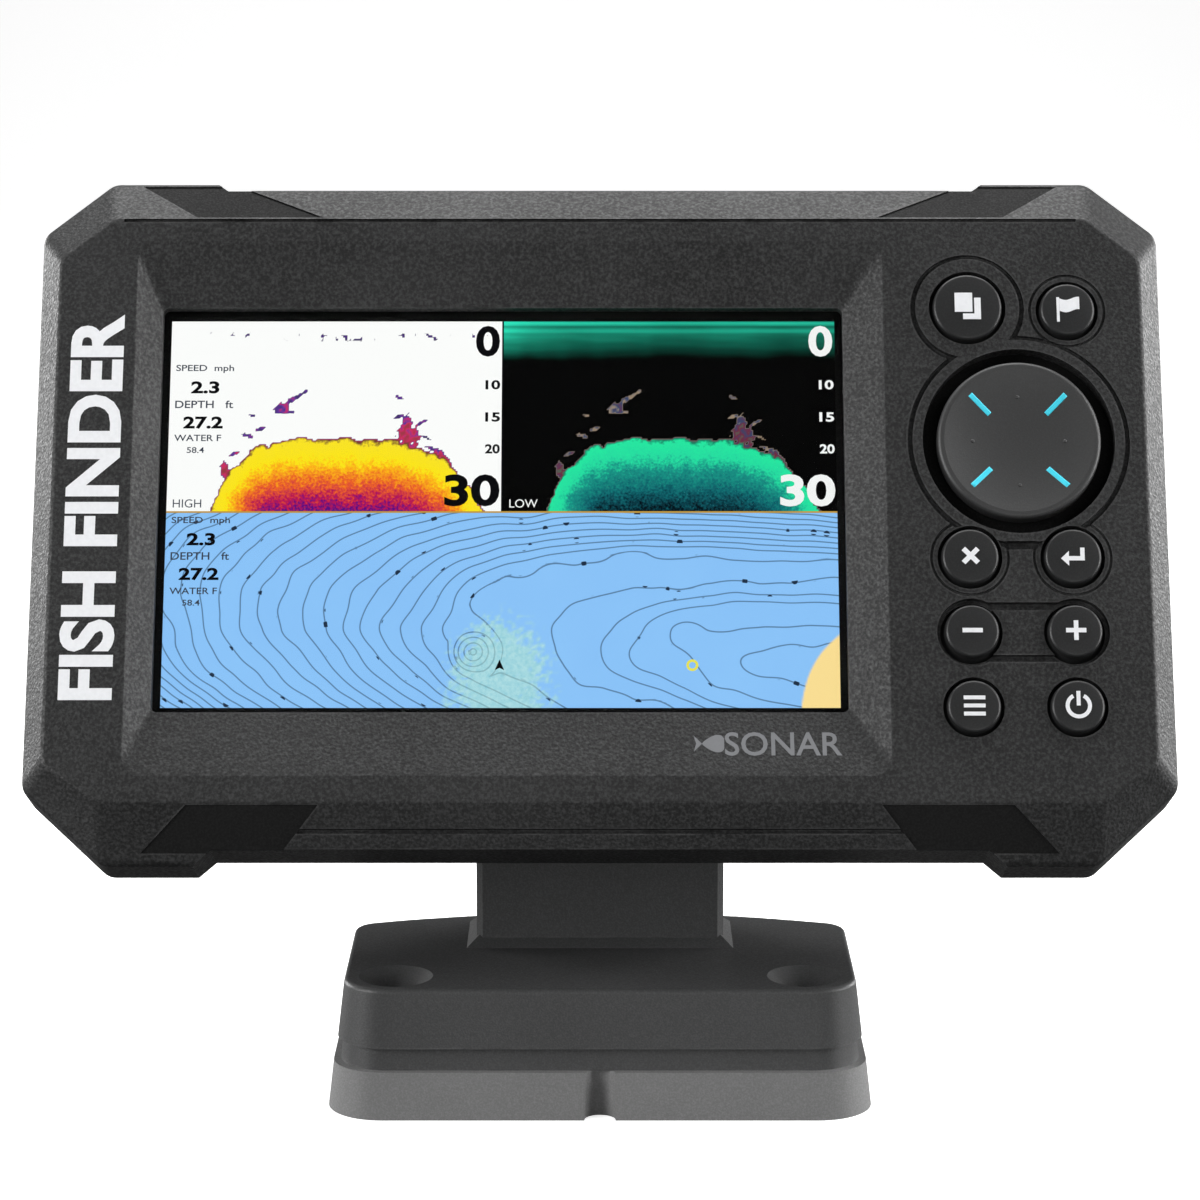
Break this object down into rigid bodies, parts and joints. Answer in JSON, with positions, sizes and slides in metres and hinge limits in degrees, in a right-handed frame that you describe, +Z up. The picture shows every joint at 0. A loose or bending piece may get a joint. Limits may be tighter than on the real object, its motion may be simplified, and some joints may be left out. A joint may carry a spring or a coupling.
{
  "type": "fish finder",
  "caption": "Sonar display unit with a wide colour screen, a keypad column on the right and a tilting post mount on a screw-down base.",
  "frame": {"origin": "centre of the base's mounting face", "axes": "+Z up from the deck, +X to the reader's right, the screen faces -Y and leans back 26 degrees"},
  "size_m": [0.1822, 0.0817, 0.1456],
  "materials": {
    "housing": "fine moulded texture, near black",
    "rear_shell": "coarse moulded texture, black",
    "mount_plastic": "moulded glass-filled nylon, black",
    "foot_plastic": "moulded, dark grey",
    "knob_plastic": "moulded, black",
    "key_plastic": "smooth satin with a printed icon",
    "socket_plastic": "moulded, black",
    "inner_plastic": "moulded, black",
    "white_plastic": "moulded acetal",
    "washer_plastic": "acetal",
    "pad_rubber": "soft black",
    "seal_rubber": "silicone, black",
    "mat_rubber": "silicone, black",
    "window_glass": "polished, bonded",
    "lcd": "lit colour picture",
    "light_guide": "opal",
    "tray_metal": "stamped sheet",
    "steel": "stainless",
    "switch_metal": "stamped",
    "can_metal": "drawn can",
    "board": "glass laminate, green mask",
    "ferrite": "sintered, dark grey",
    "ceramic": "fired ceramic",
    "contact_brass": "plated"
  },
  "bodies": {
    "base": {"base_foot": "foot_plastic", "mount_base": "mount_plastic", "tilt_bolt": "steel", "tilt_washers": "washer_plastic"},
    "knob": {"tilt_knob": "knob_plastic", "knob_insert": "contact_brass"},
    "head": {"tilt_head": "mount_plastic"},
    "pad_pivot": {"pad_cross": "steel"},
    "pad": {"direction_pad": "key_plastic"},
    "card_flap": {"card_door": "pad_rubber"},
    "pages_button": {"pages_key": "key_plastic"},
    "waypoint_button": {"waypoint_key": "key_plastic"},
    "exit_button": {"exit_key": "key_plastic"},
    "enter_button": {"enter_key": "key_plastic"},
    "zoom_out_button": {"zoom_out_key": "key_plastic"},
    "zoom_in_button": {"zoom_in_key": "key_plastic"},
    "menu_button": {"menu_key": "key_plastic"},
    "power_button": {"power_key": "key_plastic"},
    "unit": {"front_bezel": "housing", "rear_housing": "rear_shell", "grip_pads": "pad_rubber", "housing_gasket": "seal_rubber", "display_window": "window_glass", "lcd_panel": "lcd", "backlight": "light_guide", "lcd_tray": "tray_metal", "pad_saddle": "white_plastic", "keypad_mat": "mat_rubber", "keypad_board": "board", "key_switches": "switch_metal", "main_board": "board", "processor_shield": "tray_metal", "sonar_transformer": "ferrite", "storage_capacitors": "can_metal", "gps_antenna": "ceramic", "beeper": "inner_plastic", "vent_plug": "mat_rubber", "power_socket": "socket_plastic", "power_contacts": "contact_brass", "sonar_socket": "socket_plastic", "sonar_contacts": "contact_brass", "card_reader": "tray_metal", "door_pin": "socket_plastic", "housing_screws": "steel"}
  },
  "joints": [
    {"name": "tilt", "type": "hinge", "parent": "base", "child": "head", "pos_m": [0, 0.00865, 0.06], "axis": [1, 0, 0], "range_deg": [-20, 26]},
    {"name": "quick_release_slide", "type": "slide", "parent": "head", "child": "unit", "axis": [0, 0.4384, 0.8988], "range_m": [0, 0.04]},
    {"name": "knob_turn", "type": "hinge", "parent": "base", "child": "knob", "pos_m": [0.028, 0.00865, 0.06], "axis": [1, 0, 0], "range_deg": [0, 270]},
    {"name": "pages_press", "type": "slide", "parent": "unit", "child": "pages_button", "axis": [0, 0.8988, -0.4384], "range_m": [0, 0.0008], "stiffness_N_per_m": 1500, "springref_m": -0.0006},
    {"name": "waypoint_press", "type": "slide", "parent": "unit", "child": "waypoint_button", "axis": [0, 0.8988, -0.4384], "range_m": [0, 0.0008], "stiffness_N_per_m": 1500, "springref_m": -0.0006},
    {"name": "exit_press", "type": "slide", "parent": "unit", "child": "exit_button", "axis": [0, 0.8988, -0.4384], "range_m": [0, 0.0008], "stiffness_N_per_m": 1500, "springref_m": -0.0006},
    {"name": "enter_press", "type": "slide", "parent": "unit", "child": "enter_button", "axis": [0, 0.8988, -0.4384], "range_m": [0, 0.0008], "stiffness_N_per_m": 1500, "springref_m": -0.0006},
    {"name": "zoom_out_press", "type": "slide", "parent": "unit", "child": "zoom_out_button", "axis": [0, 0.8988, -0.4384], "range_m": [0, 0.0008], "stiffness_N_per_m": 1500, "springref_m": -0.0006},
    {"name": "zoom_in_press", "type": "slide", "parent": "unit", "child": "zoom_in_button", "axis": [0, 0.8988, -0.4384], "range_m": [0, 0.0008], "stiffness_N_per_m": 1500, "springref_m": -0.0006},
    {"name": "menu_press", "type": "slide", "parent": "unit", "child": "menu_button", "axis": [0, 0.8988, -0.4384], "range_m": [0, 0.0008], "stiffness_N_per_m": 1500, "springref_m": -0.0006},
    {"name": "power_press", "type": "slide", "parent": "unit", "child": "power_button", "axis": [0, 0.8988, -0.4384], "range_m": [0, 0.0008], "stiffness_N_per_m": 1500, "springref_m": -0.0006},
    {"name": "pad_nod", "type": "hinge", "parent": "unit", "child": "pad_pivot", "pos_m": [0.067, -0.00087, 0.10481], "axis": [1, 0, 0], "range_deg": [-3, 3], "stiffness_Nm_per_rad": 0.4},
    {"name": "pad_rock", "type": "hinge", "parent": "pad_pivot", "child": "pad", "pos_m": [0.067, -0.00087, 0.10481], "axis": [0, 0.4384, 0.8988], "range_deg": [-3, 3], "stiffness_Nm_per_rad": 0.4},
    {"name": "card_flap_hinge", "type": "hinge", "parent": "unit", "child": "card_flap", "pos_m": [0.04, 0.03711, 0.09051], "axis": [-1, 0, 0], "range_deg": [0, 110]}
  ]
}
